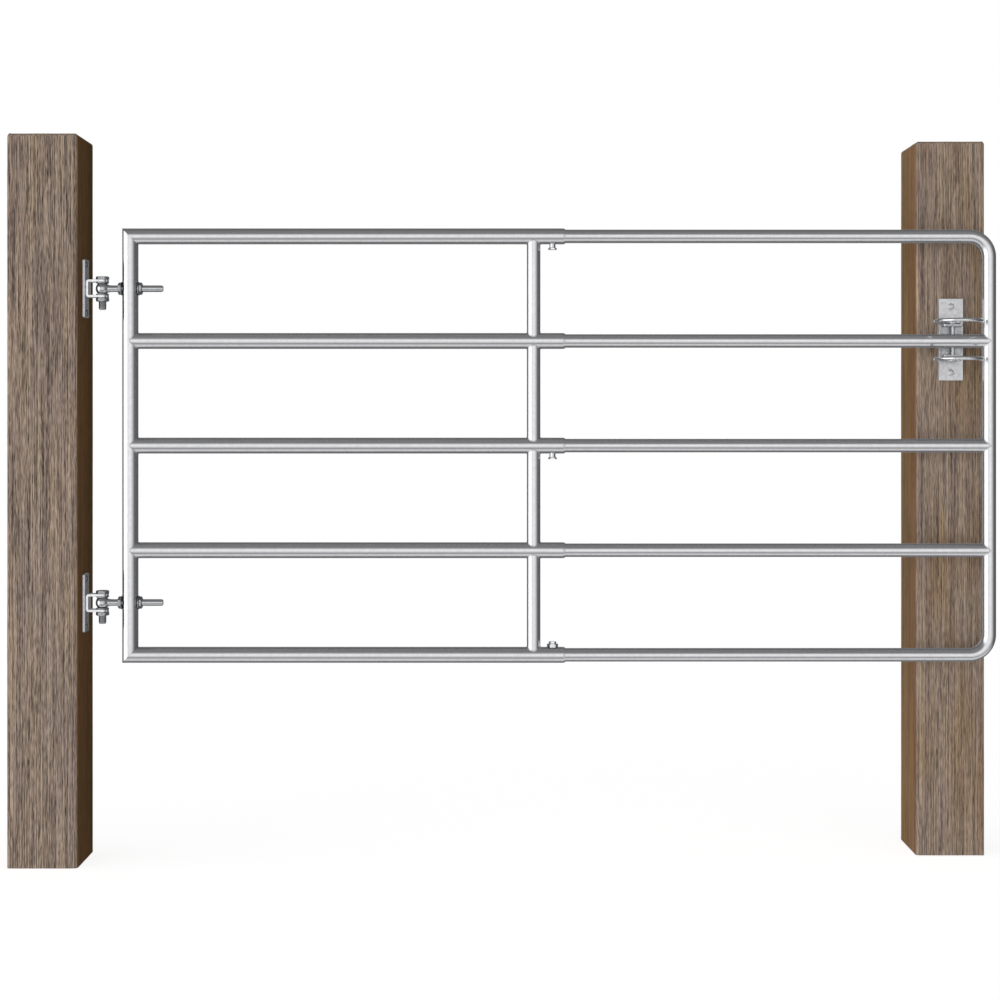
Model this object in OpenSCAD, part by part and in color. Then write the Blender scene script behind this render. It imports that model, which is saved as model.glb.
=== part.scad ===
// Telescopic five-bar field gate in galvanised steel tube, hung between two timber posts.
// X runs from the hinge post to the latch post, -Y is the side that the gate opens to and
// +Z is up. The origin is the centre of the hinge post's foot. All sizes are millimetres.

/* [Posts] */
// Width of each square post
post_w = 144; // [100:1:200]
// Height of the posts above the ground
post_h = 1495; // [1400:5:2000]
// Bevel along the upright edges of the posts
post_bevel = 4; // [1:0.5:10]

/* [Gate] */
// Distance from one rail's axis to the next
rail_pitch = 216.2; // [150:0.1:260]
// Height of the bottom rail's axis above the ground
bottom_rail_z = 426; // [150:1:450]
// Outside diameter of the hinge stile and the outer rails
outer_d = 33; // [30:0.5:42]
// Wall of the outer tubes
outer_wall = 1.8; // [1.2:0.1:2.5]
// Radial gap between the sliding tubes and the outer tubes' bore
slide_gap = 0.7; // [0.5:0.1:0.9]
// Wall of the sliding tubes
inner_wall = 1.5; // [1:0.1:2.5]
// Hinge stile's axis to the open ends of the outer rails
outer_reach = 898.5; // [600:1:1500]
// Middle stile's axis to the open ends of the outer rails
mid_stile_inset = 65; // [45:1:150]
// Open ends of the outer rails to the latch stile's axis
shown_reach = 876.5; // [200:0.5:900]
// Length of sliding tube that is left inside the outer rails
slide_overlap = 47; // [40:1:200]
// Length of the taper at the open ends of the outer rails
end_taper = 4; // [1:0.5:8]
// Wall left at the tapered ends
end_land = 0.6; // [0.3:0.1:1]
// Radius of the sliding frame's bends, on the tube's axis
bend_r = 42; // [35:1:80]
// Distance of the gate's plane in front of the hinge post's centre
gate_forward = 8; // [0:1:30]
// Gap left for the weld where one tube is coped onto another
weld_gap = 0.2; // [0.1:0.05:0.5]

/* [Hinges] */
// Hinge post's face to the pivot's axis
pivot_standoff = 37; // [34:0.5:60]
// Pivot's axis to the hinge stile's axis
pivot_to_stile = 57.5; // [55:0.5:90]
// Diameter of the pivot bolts
pivot_d = 16; // [12:1:20]
// Radial running clearance of a turning pin
running_gap = 0.06; // [0.02:0.01:0.1]
// Height of the hinge plates
hinge_plate_h = 120; // [100:1:200]
// Width of the hinge plates
hinge_plate_w = 36; // [30:1:80]
// Thickness of the plates and of the yokes' strap
plate_t = 5; // [3:0.5:8]
// Height of the opening between a yoke's arms
yoke_gap = 27; // [26:0.5:45]
// Radius of the rounded ends of the yoke's arms
ear_r = 13; // [11:0.5:20]
// Distance between a hinge plate's screws
hinge_screw_pitch = 100; // [80:1:180]
// Outside diameter of the eye
eye_d = 28; // [24:0.5:36]
// Height of the eye
eye_h = 21; // [18:0.5:30]
// Diameter of the eye bolt's shank
shank_d = 14; // [10:1:16]
// Pivot's axis to the free end of the shank
shank_reach = 125; // [110:1:160]
// Length of the pivot bolt below its nut
pivot_tail = 17; // [8:1:30]

/* [Clamps] */
// Open ends of the outer rails to the clamp screws
clamp_inset = 26; // [20:1:60]
// Diameter of the clamp screws
clamp_d = 8; // [6:1:10]
// Height of the welded bosses and of the welded nut
clamp_boss_h = 7; // [5:0.5:12]
// Diameter of the welded bosses under two of the rails
clamp_boss_d = 13; // [12:0.5:18]
// Width across flats of the nut welded on the bottom rail
clamp_nut_af = 20; // [16:0.5:24]
// Width across flats of the screws in the bosses
clamp_head_af = 16; // [13:0.5:20]
// Width across flats of the screw in the welded nut
clamp_small_af = 13.5; // [12:0.5:16]
// Height of the clamp screws' heads
clamp_head_h = 5.5; // [4:0.5:8]

/* [Latch] */
// Outside diameter of the latch claws
claw_d = 100; // [90:1:120]
// Diameter of the claws' round bar
claw_bar = 8; // [6:0.5:10]
// Distance between the two claws' planes
claw_pitch = 78; // [70:1:100]
// Clear gap between the claws and the shut gate's stile
claw_gap = 5; // [5:0.5:20]
// Diameter of the claws' upright pin
pin_d = 8; // [6:0.5:12]
// Gap between the shut gate's rail and the pin
pin_gap = 4; // [3:0.5:15]
// Gap between the pin and the latch yoke's back
pin_room = 8; // [8:0.5:20]
// Diameter of the claws' hubs
hub_d = 15; // [13:0.5:18]
// Width of the latch plate
latch_plate_w = 51; // [44:1:80]
// Height of the latch plate
latch_plate_h = 171; // [150:1:240]
// Latch yoke's middle above the rail that it receives
latch_rise = 1.5; // [0:0.5:5]
// Latch plate's centre above the yoke's middle
latch_plate_rise = 3; // [0:1:10]
// Width of the latch yoke
latch_yoke_w = 42; // [30:1:50]
// Distance between the latch plate's bolts
latch_bolt_pitch = 138; // [120:1:200]

/* [Fixings] */
// Diameter of the screws in the timber
screw_d = 8; // [6:1:10]
// Depth of the screws in the timber
screw_depth = 60; // [30:1:90]
// Diameter of the screws' domed heads
dome_d = 14; // [12:0.5:20]
// Height of the domed heads
dome_h = 4; // [2:0.5:6]

/* [Hidden] */
$fn = 96;

// Colours of the materials
TIMBER = [0.42, 0.33, 0.25];
TUBE = [0.78, 0.79, 0.80];
FITTING = [0.62, 0.63, 0.65];

// Clearances: through holes, seats of pieces that lie on each other, threads and turning faces
hole_gap = 0.2;
seat_gap = 0.1;
thread_gap = 0.05;
turning_gap = 0.3;
past = 1;

// Rails are numbered from the top down
RAILS = 5;
function rail_z(i) = bottom_rail_z + (RAILS - i) * rail_pitch;

// Tubes: the middle stile is cut from the same stock as the sliding tubes
outer_r = outer_d / 2;
inner_d = outer_d - 2 * (outer_wall + slide_gap);
inner_r = inner_d / 2;
outer_bore_r = outer_r - outer_wall;
inner_bore_r = inner_r - inner_wall;

// Places across and along the gate
gate_y = -gate_forward;
pivot_x = post_w / 2 + pivot_standoff;
stile_x = pivot_x + pivot_to_stile;
rail_end_x = stile_x + outer_reach;
mid_stile_x = rail_end_x - mid_stile_inset;
inner_end_x = rail_end_x - slide_overlap;
latch_stile_x = rail_end_x + shown_reach;
clamp_x = rail_end_x - clamp_inset;

// Hinges sit in the middle of the top and the bottom bay
upper_hinge_z = (rail_z(1) + rail_z(2)) / 2;
lower_hinge_z = (rail_z(4) + rail_z(5)) / 2;
HINGE_Z = [upper_hinge_z, lower_hinge_z];
pivot_r = pivot_d / 2;
yoke_half = yoke_gap / 2;
ear_inset = 0.5;
pivot_head_h = 6.5;
pivot_head_af = 1.5 * pivot_d;
pivot_nut_h = 8;
pivot_washer_d = 2 * ear_r;
shank_r = shank_d / 2;
eye_nut_h = 6;
eye_nut_af = shank_d + 8;
eye_washer_d = 2 * shank_d;
eye_washer_t = 2;

// Latch, counted forwards from the timber
claw_axis_r = (claw_d - claw_bar) / 2;
latch_x = latch_stile_x - inner_r - claw_gap - claw_d / 2;
latch_z = rail_z(2) + latch_rise;
pin_y = gate_y + inner_r + pin_gap + pin_d / 2;
latch_yoke_y = pin_y + pin_d / 2 + pin_room;
latch_plate_y = latch_yoke_y + plate_t;
latch_face_y = latch_plate_y + plate_t;
latch_post_y = latch_face_y + post_w / 2;
claw_z = [latch_z + claw_pitch / 2, latch_z - claw_pitch / 2];
latch_arm_z = claw_pitch / 2 - claw_bar / 2 - turning_gap;
claw_mouth_start = 9;
claw_mouth_end = 70;
latch_plate_z = latch_z + latch_plate_rise;

// Clamp screws: [rail, side of the rail, hexagonal nut or round boss]
CLAMPS = [[1, -1, false], [3, -1, false], [5, 1, true]];
clamp_tip_r = inner_r + turning_gap;

// ---------------------------------------------------------------- shared shapes

// Hexagonal prism standing on z = 0, sized across its flats
module hexagon(across_flats, h) {
    cylinder(r = across_flats / sqrt(3), h = h, $fn = 6);
}

// Round disc or nut blank with a hole through it
module ring_disc(d, bore_r, h) {
    difference() {
        cylinder(d = d, h = h);
        translate([0, 0, -past]) cylinder(r = bore_r, h = h + 2 * past);
    }
}

// Tube along +Z from z = 0
module tube(r, bore_r, length) {
    difference() {
        cylinder(r = r, h = length);
        translate([0, 0, -past]) cylinder(r = bore_r, h = length + 2 * past);
    }
}

// Outer tube along +Z from z = 0, drawn in at its far end towards the sliding tube's size
module drawn_tube(length) {
    straight = length - end_taper;
    difference() {
        union() {
            cylinder(r = outer_r, h = straight);
            translate([0, 0, straight]) cylinder(r1 = outer_r, r2 = outer_bore_r + end_land, h = end_taper);
        }
        translate([0, 0, -past]) cylinder(r = outer_bore_r, h = length + 2 * past);
    }
}

// Everything on the far side of a plane through the origin whose normal leans 45 degrees
// from +X towards +Z (lean = 1) or towards -Z (lean = -1), started off by an offset
module beyond_mitre(lean, offset) {
    size = 4 * outer_d;
    rotate([0, -45 * lean, 0]) translate([offset, -size / 2, -size / 2]) cube(size);
}

// Domed head with its flat side on z = 0
module dome(d, h) {
    ball_r = (d * d / 4 + h * h) / (2 * h);
    intersection() {
        cylinder(d = d, h = h + past);
        translate([0, 0, h - ball_r]) sphere(r = ball_r);
    }
}

// Screw with a domed head: the head starts at z = 0 and the shank runs down
module dome_screw(length) {
    dome(dome_d, dome_h);
    translate([0, 0, -length]) cylinder(d = screw_d, h = length + seat_gap);
}

// ---------------------------------------------------------------- posts

// Square timber post standing on z = 0 with bevelled upright edges
module post_timber() {
    half = post_w / 2;
    flat = half - post_bevel;
    linear_extrude(post_h) polygon([
        [-flat, -half], [flat, -half], [half, -flat], [half, flat],
        [flat, half], [-flat, half], [-half, flat], [-half, -flat]
    ]);
}

// Runs its children at every screw of the hinge plates, with +Z pointing out of the post
module at_hinge_screws() {
    for (z = HINGE_Z, side = [1, -1])
        translate([post_w / 2, gate_y, z + side * hinge_screw_pitch / 2])
            rotate([0, 90, 0]) children();
}

// Runs its children at both bolts of the latch plate, with +Z pointing out of the post
module at_latch_bolts() {
    for (side = [1, -1])
        translate([latch_x, latch_face_y, latch_plate_z + side * latch_bolt_pitch / 2])
            rotate([90, 0, 0]) children();
}

// Pilot hole that a screw fills
module pilot_hole() {
    translate([0, 0, -screw_depth - past]) cylinder(r = screw_d / 2 + thread_gap, h = screw_depth + 2 * past);
}

module hinge_post() {
    color(TIMBER) difference() {
        post_timber();
        at_hinge_screws() pilot_hole();
    }
}

module latch_post() {
    color(TIMBER) difference() {
        translate([latch_x, latch_post_y, 0]) post_timber();
        at_latch_bolts() pilot_hole();
    }
}

// ---------------------------------------------------------------- hinges

module hinge_plate(z) {
    color(FITTING) difference() {
        translate([post_w / 2, gate_y - hinge_plate_w / 2, z - hinge_plate_h / 2])
            cube([plate_t, hinge_plate_w, hinge_plate_h]);
        at_hinge_screws() translate([0, 0, -past])
            cylinder(r = screw_d / 2 + hole_gap, h = plate_t + 2 * past);
    }
}

module hinge_plate_screws() {
    color(FITTING) at_hinge_screws()
        translate([0, 0, plate_t + seat_gap]) dome_screw(screw_depth + plate_t);
}

// Strap bent to a U that lies on the plate, with a drilled ear above and below the eye
module hinge_yoke(z) {
    back = post_w / 2 + plate_t + seat_gap;
    arm_w = 2 * (ear_r - ear_inset);
    height = yoke_gap + 2 * plate_t;
    color(FITTING) translate([0, gate_y, z]) difference() {
        union() {
            translate([back, -arm_w / 2, -height / 2]) cube([plate_t, arm_w, height]);
            for (low = [-height / 2, yoke_half]) translate([0, 0, low]) {
                translate([back, -arm_w / 2, 0]) cube([pivot_x - back, arm_w, plate_t]);
                translate([pivot_x, 0, 0]) cylinder(r = ear_r, h = plate_t);
            }
        }
        translate([pivot_x, 0, -height]) cylinder(r = pivot_r + hole_gap, h = 2 * height);
    }
}

module pivot_bolt(z) {
    seat = yoke_half + plate_t + seat_gap;
    tail = yoke_half + plate_t + pivot_nut_h + pivot_tail;
    color(FITTING) translate([pivot_x, gate_y, z]) {
        translate([0, 0, seat]) hexagon(pivot_head_af, pivot_head_h);
        translate([0, 0, -tail]) cylinder(r = pivot_r, h = tail + seat);
    }
}

module pivot_nuts() {
    for (z = HINGE_Z)
        color(FITTING) translate([pivot_x, gate_y, z - yoke_half - plate_t - seat_gap - pivot_nut_h])
            difference() {
                hexagon(pivot_head_af, pivot_nut_h);
                translate([0, 0, -past]) cylinder(r = pivot_r + thread_gap, h = pivot_nut_h + 2 * past);
            }
}

// Thick washers that take up the room between the eye and the yoke's arms
module pivot_washers() {
    thickness = (yoke_gap - eye_h) / 2 - 2 * turning_gap;
    for (z = HINGE_Z, low = [eye_h / 2 + turning_gap, -yoke_half + turning_gap])
        color(FITTING) translate([pivot_x, gate_y, z + low])
            ring_disc(pivot_washer_d, pivot_r + hole_gap, thickness);
}

// Eye on the pivot with its shank through the hinge stile
module eye_bolt(z) {
    color(FITTING) translate([pivot_x, gate_y, z]) difference() {
        union() {
            translate([0, 0, -eye_h / 2]) cylinder(d = eye_d, h = eye_h);
            rotate([0, 90, 0]) cylinder(r = shank_r, h = shank_reach);
        }
        translate([0, 0, -eye_h]) cylinder(r = pivot_r + running_gap, h = 2 * eye_h);
    }
}

// Runs its children on both sides of the stile at each hinge, with +Z pointing away from it
module at_eye_bolt_seats() {
    for (z = HINGE_Z, side = [1, -1])
        translate([stile_x, gate_y, z]) rotate([0, 90 * side, 0])
            translate([0, 0, outer_r + seat_gap]) children();
}

module eye_bolt_washers() {
    color(FITTING) at_eye_bolt_seats()
        ring_disc(eye_washer_d, shank_r + hole_gap, eye_washer_t);
}

module eye_bolt_nuts() {
    color(FITTING) at_eye_bolt_seats() translate([0, 0, eye_washer_t + seat_gap])
        difference() {
            hexagon(eye_nut_af, eye_nut_h);
            translate([0, 0, -past]) cylinder(r = shank_r + thread_gap, h = eye_nut_h + 2 * past);
        }
}

// ---------------------------------------------------------------- outer frame

// Upright tube, mitred into the top and the bottom rail and drilled for the eye bolts
module hinge_stile() {
    low = rail_z(RAILS) - outer_r;
    high = rail_z(1) + outer_r;
    color(TUBE) difference() {
        translate([stile_x, gate_y, low]) tube(outer_r, outer_bore_r, high - low);
        translate([stile_x, gate_y, rail_z(1)]) beyond_mitre(1, -weld_gap / 2);
        translate([stile_x, gate_y, rail_z(RAILS)]) beyond_mitre(-1, -weld_gap / 2);
        for (z = HINGE_Z) translate([stile_x - outer_d, gate_y, z])
            rotate([0, 90, 0]) cylinder(r = shank_r + hole_gap, h = 2 * outer_d);
    }
}

// Clamp screw's hole through one wall of a rail
module clamp_holes(i) {
    for (clamp = CLAMPS) if (clamp[0] == i)
        translate([clamp_x - stile_x, 0, 0]) rotate([clamp[1] < 0 ? 180 : 0, 0, 0])
            cylinder(r = clamp_d / 2 + hole_gap, h = outer_d);
}

// Top and bottom rails are mitred to the stile, the three between are coped around it
module outer_rail(i) {
    edge = i == 1 || i == RAILS;
    start = edge ? -outer_r : 0;
    color(TUBE) translate([stile_x, gate_y, rail_z(i)]) difference() {
        translate([start, 0, 0]) rotate([0, 90, 0]) drawn_tube(outer_reach - start);
        if (edge) mirror([1, 0, 0]) beyond_mitre(i == 1 ? -1 : 1, -weld_gap / 2);
        else cylinder(r = outer_r + weld_gap, h = 2 * outer_d, center = true);
        clamp_holes(i);
    }
}

// One length of thinner tube in each bay, coped onto the rails above and below it
module middle_stile() {
    for (i = [1 : RAILS - 1])
        color(TUBE) translate([mid_stile_x, gate_y, 0]) difference() {
            translate([0, 0, rail_z(i + 1)]) tube(inner_r, inner_bore_r, rail_pitch);
            for (end = [i, i + 1]) translate([-outer_d, 0, rail_z(end)])
                rotate([0, 90, 0]) cylinder(r = outer_r + weld_gap, h = 2 * outer_d);
        }
}

// Runs its children at a clamp, with z = 0 on the rail's axis and +Z towards the screw's head
module at_clamp(clamp) {
    translate([clamp_x, gate_y, rail_z(clamp[0])]) rotate([clamp[1] < 0 ? 180 : 0, 0, 0]) children();
}

// Bosses and nut welded on the rails, shaped to the tube underneath
module clamp_nuts() {
    for (clamp = CLAMPS) color(FITTING) at_clamp(clamp) difference() {
        if (clamp[2]) hexagon(clamp_nut_af, outer_r + clamp_boss_h);
        else cylinder(d = clamp_boss_d, h = outer_r + clamp_boss_h);
        translate([0, 0, -past]) cylinder(r = clamp_d / 2 + thread_gap, h = 2 * outer_d);
        translate([-outer_d, 0, 0]) rotate([0, 90, 0]) cylinder(r = outer_r + weld_gap, h = 2 * outer_d);
    }
}

// Hexagon screws that press on the sliding tubes
module clamp_screws() {
    seat = outer_r + clamp_boss_h + seat_gap;
    for (clamp = CLAMPS) color(FITTING) at_clamp(clamp) {
        translate([0, 0, seat]) hexagon(clamp[2] ? clamp_small_af : clamp_head_af, clamp_head_h);
        translate([0, 0, clamp_tip_r]) cylinder(d = clamp_d, h = seat - clamp_tip_r);
    }
}

// ---------------------------------------------------------------- sliding frame

// Quarter bend of the sliding tube, from +X at the top towards -Z
module tube_bend() {
    rotate([90, 0, 0]) rotate_extrude(angle = 90) translate([bend_r, 0]) difference() {
        circle(r = inner_r);
        circle(r = inner_bore_r);
    }
}

// One tube bent twice: top rail, latch stile and bottom rail
module extension_loop() {
    bend_x = latch_stile_x - bend_r;
    low = rail_z(RAILS) + bend_r;
    high = rail_z(1) - bend_r;
    color(TUBE) translate([0, gate_y, 0]) {
        for (z = [rail_z(1), rail_z(RAILS)]) translate([inner_end_x, 0, z])
            rotate([0, 90, 0]) tube(inner_r, inner_bore_r, bend_x - inner_end_x);
        translate([bend_x, 0, high]) tube_bend();
        translate([bend_x, 0, low]) mirror([0, 0, 1]) tube_bend();
        translate([latch_stile_x, 0, low]) tube(inner_r, inner_bore_r, high - low);
    }
}

// Sliding rail, coped around the latch stile
module inner_rail(i) {
    color(TUBE) translate([0, gate_y, rail_z(i)]) difference() {
        translate([inner_end_x, 0, 0]) rotate([0, 90, 0])
            tube(inner_r, inner_bore_r, latch_stile_x - inner_end_x);
        translate([latch_stile_x, 0, 0])
            cylinder(r = inner_r + weld_gap, h = 2 * inner_d, center = true);
    }
}

// ---------------------------------------------------------------- latch

module latch_plate() {
    color(FITTING) difference() {
        translate([latch_x - latch_plate_w / 2, latch_plate_y, latch_plate_z - latch_plate_h / 2])
            cube([latch_plate_w, plate_t, latch_plate_h]);
        at_latch_bolts() translate([0, 0, -past])
            cylinder(r = screw_d / 2 + hole_gap, h = plate_t + 2 * past);
    }
}

module latch_plate_bolts() {
    color(FITTING) at_latch_bolts()
        translate([0, 0, plate_t + seat_gap]) dome_screw(screw_depth + plate_t);
}

// U bracket on the latch plate: the shut gate's rail lies between its two arms
module latch_yoke() {
    front = pin_y - hub_d / 2;
    back = latch_plate_y - seat_gap;
    color(FITTING) translate([latch_x - latch_yoke_w / 2, 0, latch_z]) difference() {
        union() {
            translate([0, back - plate_t, -latch_arm_z])
                cube([latch_yoke_w, plate_t, 2 * latch_arm_z]);
            for (low = [-latch_arm_z, latch_arm_z - plate_t])
                translate([0, front, low]) cube([latch_yoke_w, back - front, plate_t]);
        }
        translate([latch_yoke_w / 2, pin_y, -claw_pitch])
            cylinder(r = pin_d / 2 + running_gap, h = 2 * claw_pitch);
    }
}

// Upright pin that both claws are welded to
module latch_pin() {
    reach = (claw_pitch + claw_bar) / 2 + past;
    color(FITTING) translate([latch_x, pin_y, latch_z - reach]) cylinder(d = pin_d, h = 2 * reach);
}

// Ring of round bar with a mouth on the latch stile's side, and its hub on the pin
module claw(z) {
    sweep = 360 - claw_mouth_end + claw_mouth_start;
    color(FITTING) translate([latch_x, pin_y, z]) difference() {
        union() {
            translate([0, -claw_axis_r, 0]) rotate([0, 0, claw_mouth_end])
                rotate_extrude(angle = sweep) translate([claw_axis_r, 0]) circle(d = claw_bar);
            translate([0, 0, -claw_bar / 2]) cylinder(d = hub_d, h = claw_bar);
        }
        translate([0, 0, -claw_bar]) cylinder(r = pin_d / 2 + thread_gap, h = 2 * claw_bar);
    }
}

hinge_post();
latch_post();
hinge_plate(upper_hinge_z);  // upper_hinge_plate
hinge_plate(lower_hinge_z);  // lower_hinge_plate
hinge_yoke(upper_hinge_z);  // upper_hinge_yoke
hinge_yoke(lower_hinge_z);  // lower_hinge_yoke
hinge_plate_screws();
pivot_bolt(upper_hinge_z);  // upper_pivot_bolt
pivot_bolt(lower_hinge_z);  // lower_pivot_bolt
pivot_nuts();
pivot_washers();
latch_plate();
latch_yoke();
latch_plate_bolts();
hinge_stile();
outer_rail(1);  // outer_rail_1
outer_rail(2);  // outer_rail_2
outer_rail(3);  // outer_rail_3
outer_rail(4);  // outer_rail_4
outer_rail(5);  // outer_rail_5
middle_stile();
eye_bolt(upper_hinge_z);  // upper_eye_bolt
eye_bolt(lower_hinge_z);  // lower_eye_bolt
eye_bolt_nuts();
eye_bolt_washers();
clamp_nuts();
clamp_screws();
extension_loop();
inner_rail(2);  // inner_rail_2
inner_rail(3);  // inner_rail_3
inner_rail(4);  // inner_rail_4
latch_pin();
claw(claw_z[0]);  // upper_claw
claw(claw_z[1]);  // lower_claw
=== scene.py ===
# %% [markdown]
# # A telescopic five-bar gate between two timber posts
# The frame below holds the exact solids of the gate: every tube, bolt and plate at its real size.
# This lesson keeps the tubes as they are and gives them their finish, and models again what a
# turned, forged or sawn piece needs: rounded edges, chamfered hexagons, threads, welds and grain.
# Every length here is in metres in Blender; outlines are written in millimetres and scaled.

# %% Load the fixed frame
import math

import bmesh
import bpy
from mathutils import Matrix, Vector


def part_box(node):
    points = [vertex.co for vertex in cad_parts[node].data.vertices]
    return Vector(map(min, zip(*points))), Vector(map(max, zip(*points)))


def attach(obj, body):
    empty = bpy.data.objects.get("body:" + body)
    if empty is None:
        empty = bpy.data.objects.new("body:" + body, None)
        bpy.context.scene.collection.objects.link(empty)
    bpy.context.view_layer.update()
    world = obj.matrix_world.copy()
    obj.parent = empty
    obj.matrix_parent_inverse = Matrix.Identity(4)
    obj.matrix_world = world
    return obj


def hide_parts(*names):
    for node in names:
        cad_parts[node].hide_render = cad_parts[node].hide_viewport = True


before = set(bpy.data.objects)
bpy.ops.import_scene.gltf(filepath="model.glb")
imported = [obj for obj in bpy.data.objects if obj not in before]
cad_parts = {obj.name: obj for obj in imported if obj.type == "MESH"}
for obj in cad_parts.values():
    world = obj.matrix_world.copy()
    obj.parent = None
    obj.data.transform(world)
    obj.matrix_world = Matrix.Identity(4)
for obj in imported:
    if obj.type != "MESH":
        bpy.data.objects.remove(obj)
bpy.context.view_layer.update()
MM = 0.001

# %% [markdown]
# ## Where things are
# A node's box says where it is, so no place is typed in twice. The hinge's pivot and the latch's
# pin are upright round bars, so the middle of each box is the axis. The lower hinge is a twin of
# the upper one, so one vector leads from every piece of the first to its copy in the second.

# %% Read the places from the frame
def middle(name):
    low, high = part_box(name)
    return (low + high) / 2


def half_size(name):
    low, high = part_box(name)
    return (high - low) / 2


pivot = middle("upper_pivot_bolt")
pivot.z = middle("upper_hinge_yoke").z
lower_hinge = Vector((0, 0, middle("lower_hinge_yoke").z - pivot.z))
pin = middle("latch_pin")
post_middle = middle("hinge_post")
latch_post_middle = middle("latch_post")
stile = middle("hinge_stile")
print("pivot", tuple(round(v, 4) for v in pivot), "pin", tuple(round(v, 4) for v in pin))

# %% [markdown]
# ## The camera
# The gate is seen straight on from about chest height, with a lens a little longer than normal.
# The camera stays level, so uprights stay upright, and a small shift lowers the view instead of
# tilting it.

# %% Put up the camera
LENS_MM = 63.97
SHIFT_DOWN = -0.0855
CAMERA_PLACE = (0.9305, -3.681, 0.9227)
camera_data = bpy.data.cameras.new("level_camera")
camera_data.sensor_width = 36
camera_data.lens = LENS_MM
camera_data.shift_y = SHIFT_DOWN
camera = bpy.data.objects.new("level_camera", camera_data)
camera.location = CAMERA_PLACE
camera.rotation_euler = (math.radians(90), 0, 0)
bpy.context.scene.collection.objects.link(camera)
bpy.context.scene.camera = camera
bpy.context.scene.view_settings.view_transform = "Standard"
print("camera lens", LENS_MM, "mm,", CAMERA_PLACE[2], "m above the ground")

# %% [markdown]
# ## Small helpers for shader nodes
# Colours are written as sRGB hex values, as a paint chart gives them. Shader sockets take linear
# light, so one function turns one into the other. Another adds a node with everything it needs.

# %% Colour and node helpers
def linear(colour):
    """An sRGB hex colour as linear red, green, blue and alpha."""
    channels = [int(colour[i:i + 2], 16) / 255 for i in (1, 3, 5)]
    return (*[c / 12.92 if c <= 0.04045 else ((c + 0.055) / 1.055) ** 2.4 for c in channels], 1)


def node(tree, kind, values=None, links=None, ramp=None, **settings):
    """Adds a node, with values and links by socket, a ramp's (place, tone) stops and its settings."""
    made = tree.nodes.new("ShaderNode" + kind)
    for name, value in settings.items():
        setattr(made, name, value)
    for socket, value in (values or {}).items():
        made.inputs[socket].default_value = value
    for socket, output in (links or {}).items():
        tree.links.new(output, made.inputs[socket])
    if ramp:
        stops = made.color_ramp.elements
        while len(stops) < len(ramp):
            stops.new(1)
        for stop, (place, tone) in zip(stops, ramp):
            stop.position = place
            stop.color = tone if isinstance(tone, tuple) else (tone, tone, tone, 1)
    return made


print("a mid grey of #808080 is", round(linear("#808080")[0], 3), "in linear light")

# %% [markdown]
# ## The studio
# Bright metal is drawn by what it mirrors. A round tube shows the whole room as thin bands, so the
# room is what gives it its look. An upright tube reads it from side to side: a wide soft light on
# the left, plain grey in front and darkness on the right. A level tube reads it from the floor to
# the ceiling: a pale floor, a darker band, a bright one at eye level and a dark ceiling. Behind
# the gate, a little above and below eye level, a softer light keeps its back from going black.
# A world shader can paint that room with no lamp at all. The light's direction is turned into two
# angles, around and over, and a ramp of greys is read along each. Close to eye level the first
# one counts, most of all towards the sides, and everywhere else the second.
# The camera itself sees plain white, and so does metal where it mirrors the backdrop.

# %% Choose the greys of the studio
STUDIO_LEVEL = 1.3
BRIGHTEST = 2.0
BACKDROP_EDGE = math.cos(math.radians(10))
# Each pair is an angle in degrees and a grey. 0 is where the gate faces; around, 90 is the latch's
# side, and over, 90 is straight up.
AROUND = [(-180, .17), (-104, .17), (-90, 1.8), (-42, 1.8), (-35, .82), (22, .82), (36, .66),
          (48, .43), (62, .2), (74, .12), (180, .12)]
OVER = [(-180, .8), (-160, .7), (-142, .17), (-100, .17), (-90, .62), (-70, .75), (-55, .75),
        (-48, .33), (-33, .33), (-24, .6), (-10, .9), (-3, 1.15), (8, 1.1), (20, .75), (30, .3),
        (45, .22), (60, .22), (85, .2), (100, .15), (146, .15), (162, .7), (180, .8)]
# How much the ramp around counts, by height above eye level and by the angle around
LEVEL_SHARE = [(-35, 0), (-20, 1), (15, 1), (30, 0)]
SIDE_SHARE = [(-30, 1), (-16, .35), (14, .35), (24, 1)]
print("studio:", len(AROUND), "greys around and", len(OVER), "over")


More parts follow.
